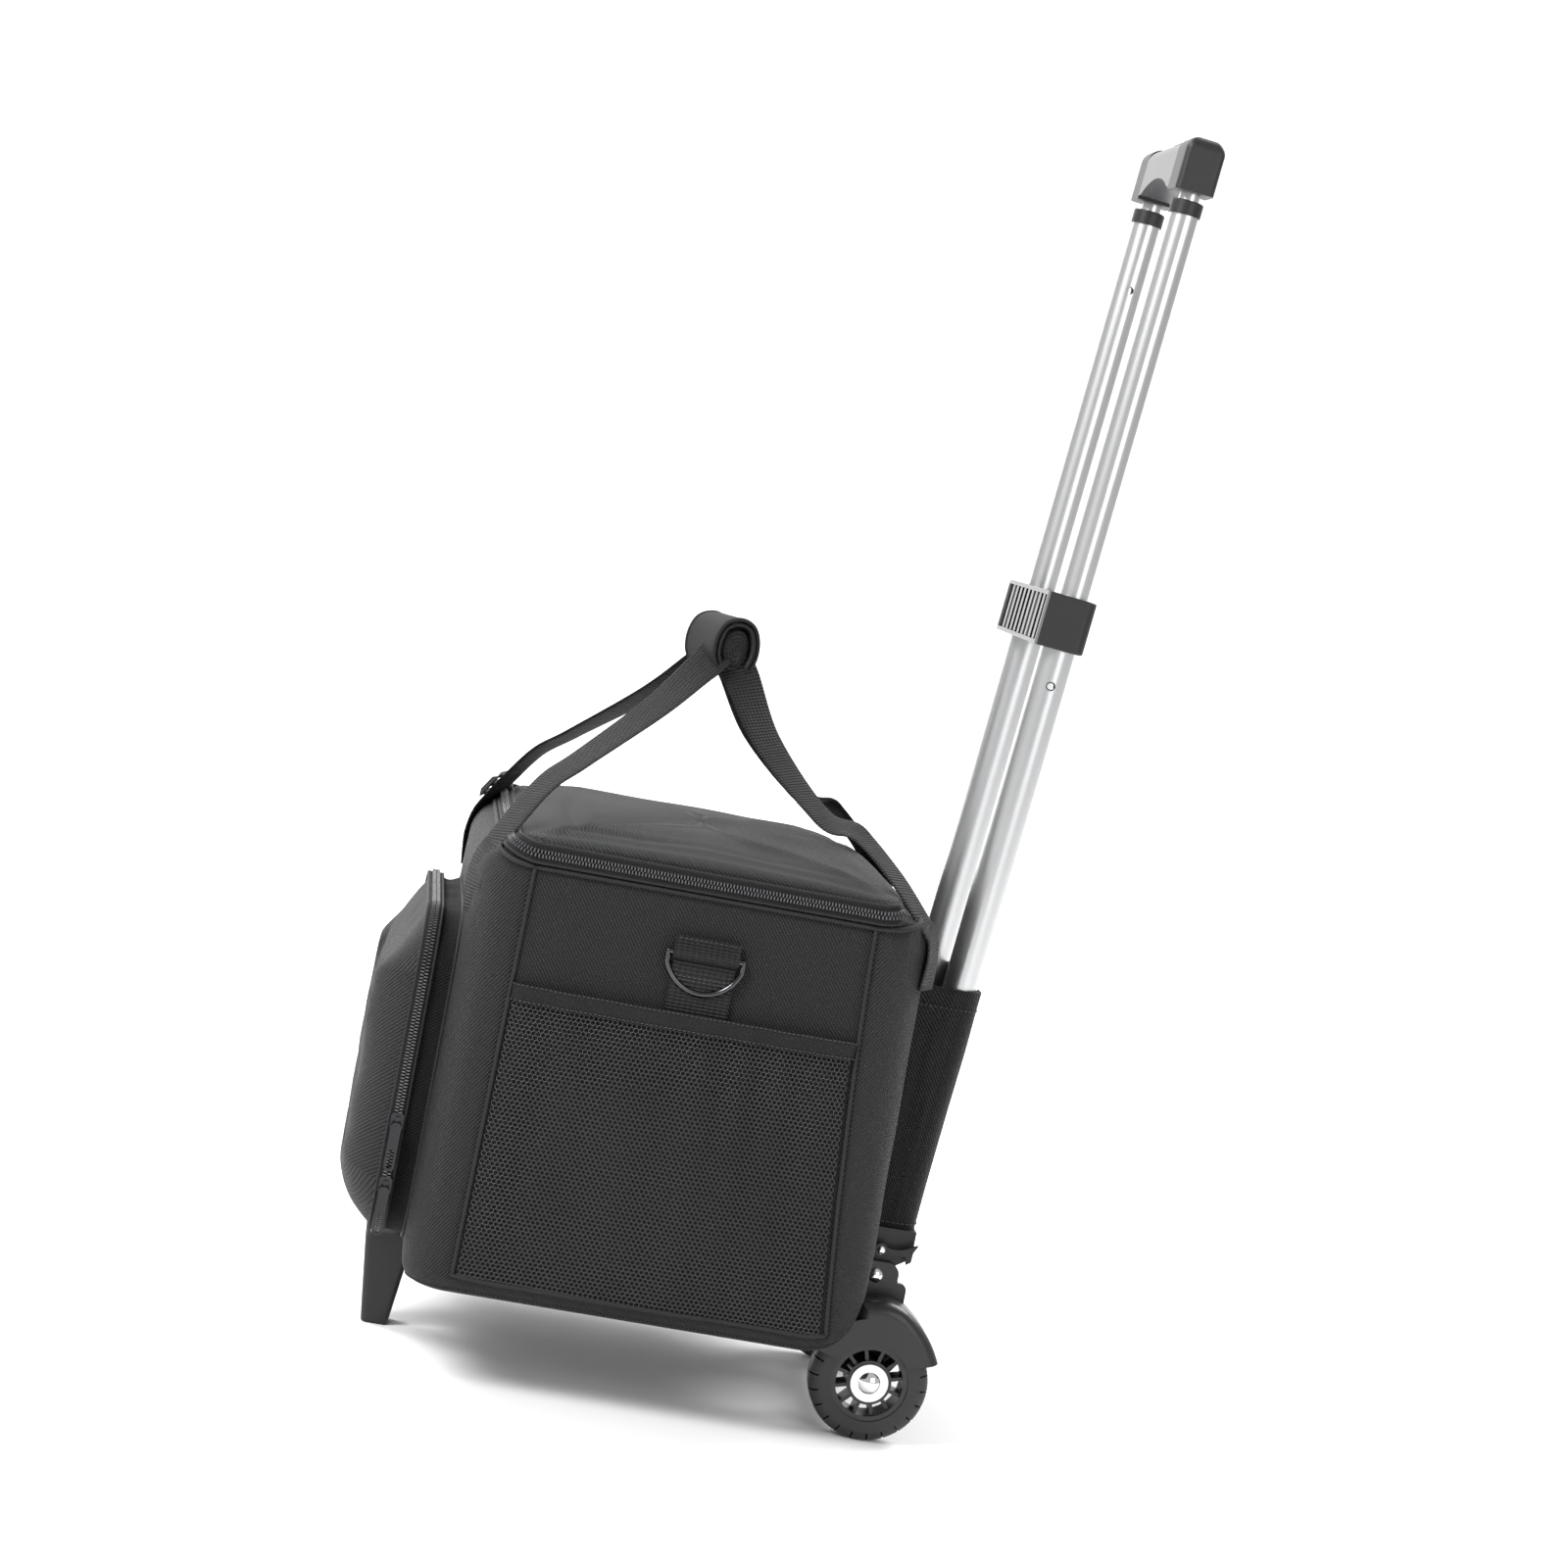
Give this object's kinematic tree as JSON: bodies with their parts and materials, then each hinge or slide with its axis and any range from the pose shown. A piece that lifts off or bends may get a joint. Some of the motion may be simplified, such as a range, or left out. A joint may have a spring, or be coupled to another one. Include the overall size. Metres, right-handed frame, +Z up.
{
  "type": "wheeled speaker bag",
  "caption": "Padded carry bag for a party speaker on a folding two-wheeled trolley with telescoping tubes, a front foot, a zipped lid, a front pocket and net side pockets.",
  "frame": {"origin": "on the floor, under the middle of the overall box", "axes": "+Z up; -Y towards the front pocket and foot, +Y towards the tubes and wheels; +X to the bag's right side"},
  "size_m": [0.318, 0.4208, 0.8332],
  "materials": {
    "tube_aluminium": "satin anodised",
    "black_moulding": "fine moulded texture",
    "grip_body": "smooth satin moulding",
    "grip_caps": "leather-grained moulding",
    "bezel": "grey satin paint",
    "ribbed_inlay": "glossy ribs",
    "fender": "satin moulding",
    "tyre": "soft tread",
    "rim": "moulded spokes",
    "washer": "turned steel",
    "bright_cap": "polished",
    "steel": "plain steel",
    "bag_fabric": "twill-woven polyester",
    "zip_tape": "coil zip",
    "net": "hexagonal net",
    "webbing": "ribbed webbing",
    "wrap": "padded wrap",
    "ring_wire": "black nickel",
    "zip_hardware": "black enamel",
    "board": "stiffener board"
  },
  "bodies": {
    "frame": {"tube_lower_right": "tube_aluminium", "tube_lower_left": "tube_aluminium", "tube_socket_right": "black_moulding", "tube_socket_left": "black_moulding", "bracket_yoke": "black_moulding", "bracket_cover": "ribbed_inlay", "bracket_bezel": "bezel", "base_plate": "black_moulding", "front_foot": "black_moulding", "base_screws": "steel", "pivot_rivets": "bright_cap", "bag_body": "bag_fabric", "bottom_board": "board", "tube_sleeve": "bag_fabric", "mesh_pocket_right": "net", "mesh_pocket_left": "net", "ring_tabs": "webbing", "pocket_gusset": "zip_tape", "carry_strap_right": "webbing", "carry_strap_left": "webbing", "grip_wrap": "wrap"},
    "wheel_truck": {"fender_right": "fender", "fender_left": "fender", "axle_beam": "black_moulding", "axle_shaft": "steel", "hub_washers": "washer", "axle_caps": "bright_cap"},
    "wheel_right": {"rim_right": "rim", "tyre_right": "tyre"},
    "wheel_left": {"rim_left": "rim", "tyre_left": "tyre"},
    "latch": {"latch_hook": "black_moulding"},
    "mast_middle": {"tube_middle_right": "tube_aluminium", "tube_middle_left": "tube_aluminium", "middle_collars": "black_moulding", "pin_carriers_middle": "black_moulding"},
    "mast_upper": {"tube_inner_right": "tube_aluminium", "tube_inner_left": "tube_aluminium", "pin_carriers_upper": "black_moulding", "grip_body": "grip_body", "grip_underside": "grip_body", "grip_caps": "grip_caps"},
    "button": {"release_button": "black_moulding", "release_rods": "tube_aluminium"},
    "pin_lower_right": {"pin_lower_right": "steel"},
    "pin_lower_left": {"pin_lower_left": "steel"},
    "pin_upper_right": {"pin_upper_right": "steel"},
    "pin_upper_left": {"pin_upper_left": "steel"},
    "lid": {"lid_panel": "bag_fabric"},
    "lid_slider_right": {"lid_slider_right": "zip_hardware"},
    "lid_slider_left": {"lid_slider_left": "zip_hardware"},
    "lid_puller_right": {"lid_puller_right": "zip_hardware"},
    "lid_puller_left": {"lid_puller_left": "zip_hardware"},
    "pocket_flap": {"pocket_flap": "bag_fabric"},
    "pocket_slider_high": {"pocket_slider_high": "zip_hardware"},
    "pocket_slider_low": {"pocket_slider_low": "zip_hardware"},
    "pocket_puller_high": {"pocket_puller_high": "zip_hardware"},
    "pocket_puller_low": {"pocket_puller_low": "zip_hardware"},
    "d_ring_right": {"d_ring_right": "ring_wire"},
    "d_ring_left": {"d_ring_left": "ring_wire"}
  },
  "joints": [
    {"name": "truck_fold", "type": "hinge", "parent": "frame", "child": "wheel_truck", "pos_m": [0, 0.13136, 0.101], "axis": [1, 0, 0], "range_deg": [0, 60]},
    {"name": "wheel_right_spin", "type": "hinge", "parent": "wheel_truck", "child": "wheel_right", "pos_m": [0, 0.13736, 0.0375], "axis": [1, 0, 0], "continuous": true},
    {"name": "wheel_left_spin", "type": "hinge", "parent": "wheel_truck", "child": "wheel_left", "pos_m": [0, 0.13736, 0.0375], "axis": [1, 0, 0], "continuous": true},
    {"name": "latch_lift", "type": "hinge", "parent": "frame", "child": "latch", "pos_m": [0.083, 0.13136, 0.118], "axis": [1, 0, 0], "range_deg": [0, 25], "stiffness_Nm_per_rad": 0.02},
    {"name": "mast_middle_slide", "type": "slide", "parent": "frame", "child": "mast_middle", "axis": [0, 0.0854, 0.9963], "range_m": [-0.24, 0]},
    {"name": "mast_upper_slide", "type": "slide", "parent": "mast_middle", "child": "mast_upper", "axis": [0, 0.0854, 0.9963], "range_m": [0, 0.22]},
    {"name": "button_press", "type": "slide", "parent": "mast_upper", "child": "button", "axis": [0, -0.0854, -0.9963], "range_m": [0, 0.0035], "stiffness_N_per_m": 800},
    {"name": "pin_lower_right_slide", "type": "slide", "parent": "mast_middle", "child": "pin_lower_right", "axis": [-1, 0, 0], "range_m": [0, 0.003]},
    {"name": "pin_lower_left_slide", "type": "slide", "parent": "mast_middle", "child": "pin_lower_left", "axis": [1, 0, 0], "range_m": [0, 0.003]},
    {"name": "pin_upper_right_slide", "type": "slide", "parent": "mast_upper", "child": "pin_upper_right", "axis": [1, 0, 0], "range_m": [0, 0.003]},
    {"name": "pin_upper_left_slide", "type": "slide", "parent": "mast_upper", "child": "pin_upper_left", "axis": [-1, 0, 0], "range_m": [0, 0.003]},
    {"name": "lid_open", "type": "hinge", "parent": "frame", "child": "lid", "pos_m": [0, 0.09636, 0.333], "axis": [-1, 0, 0], "range_deg": [0, 90], "deforming": ["carry_strap_right", "carry_strap_left", "grip_wrap"]},
    {"name": "lid_slider_right_slide", "type": "slide", "parent": "frame", "child": "lid_slider_right", "axis": [0, 1, 0], "range_m": [0, 0.03]},
    {"name": "lid_slider_left_slide", "type": "slide", "parent": "frame", "child": "lid_slider_left", "axis": [0, -1, 0], "range_m": [0, 0.08]},
    {"name": "lid_puller_right_swing", "type": "hinge", "parent": "lid_slider_right", "child": "lid_puller_right", "pos_m": [-0.1556, 0.04236, 0.334], "axis": [0, 1, 0], "range_deg": [0, 100]},
    {"name": "lid_puller_left_swing", "type": "hinge", "parent": "lid_slider_left", "child": "lid_puller_left", "pos_m": [-0.1556, 0.01836, 0.334], "axis": [0, 1, 0], "range_deg": [0, 100]},
    {"name": "pocket_open", "type": "hinge", "parent": "frame", "child": "pocket_flap", "pos_m": [0, -0.18079, 0.076], "axis": [1, 0, 0], "range_deg": [0, 60]},
    {"name": "pocket_slider_high_slide", "type": "slide", "parent": "frame", "child": "pocket_slider_high", "axis": [0, 0, 1], "range_m": [0, 0.085]},
    {"name": "pocket_slider_low_slide", "type": "slide", "parent": "frame", "child": "pocket_slider_low", "axis": [0, 0, 1], "range_m": [0, 0.008]},
    {"name": "pocket_puller_high_swing", "type": "hinge", "parent": "pocket_slider_high", "child": "pocket_puller_high", "pos_m": [0.1176, -0.18064, 0.152], "axis": [0, -1, 0], "range_deg": [0, 100]},
    {"name": "pocket_puller_low_swing", "type": "hinge", "parent": "pocket_slider_low", "child": "pocket_puller_low", "pos_m": [0.1176, -0.18064, 0.112], "axis": [0, -1, 0], "range_deg": [0, 100]},
    {"name": "d_ring_right_swing", "type": "hinge", "parent": "frame", "child": "d_ring_right", "pos_m": [0.1544, -0.01864, 0.29], "axis": [0, -1, 0], "range_deg": [0, 120]},
    {"name": "d_ring_left_swing", "type": "hinge", "parent": "frame", "child": "d_ring_left", "pos_m": [-0.1544, -0.01864, 0.29], "axis": [0, 1, 0], "range_deg": [0, 120]}
  ],
  "couplings": [
    {"joint": "pin_lower_right_slide", "follows": "button_press", "ratio": 0.85},
    {"joint": "pin_lower_left_slide", "follows": "button_press", "ratio": 0.85},
    {"joint": "pin_upper_right_slide", "follows": "button_press", "ratio": 0.85},
    {"joint": "pin_upper_left_slide", "follows": "button_press", "ratio": 0.85}
  ]
}
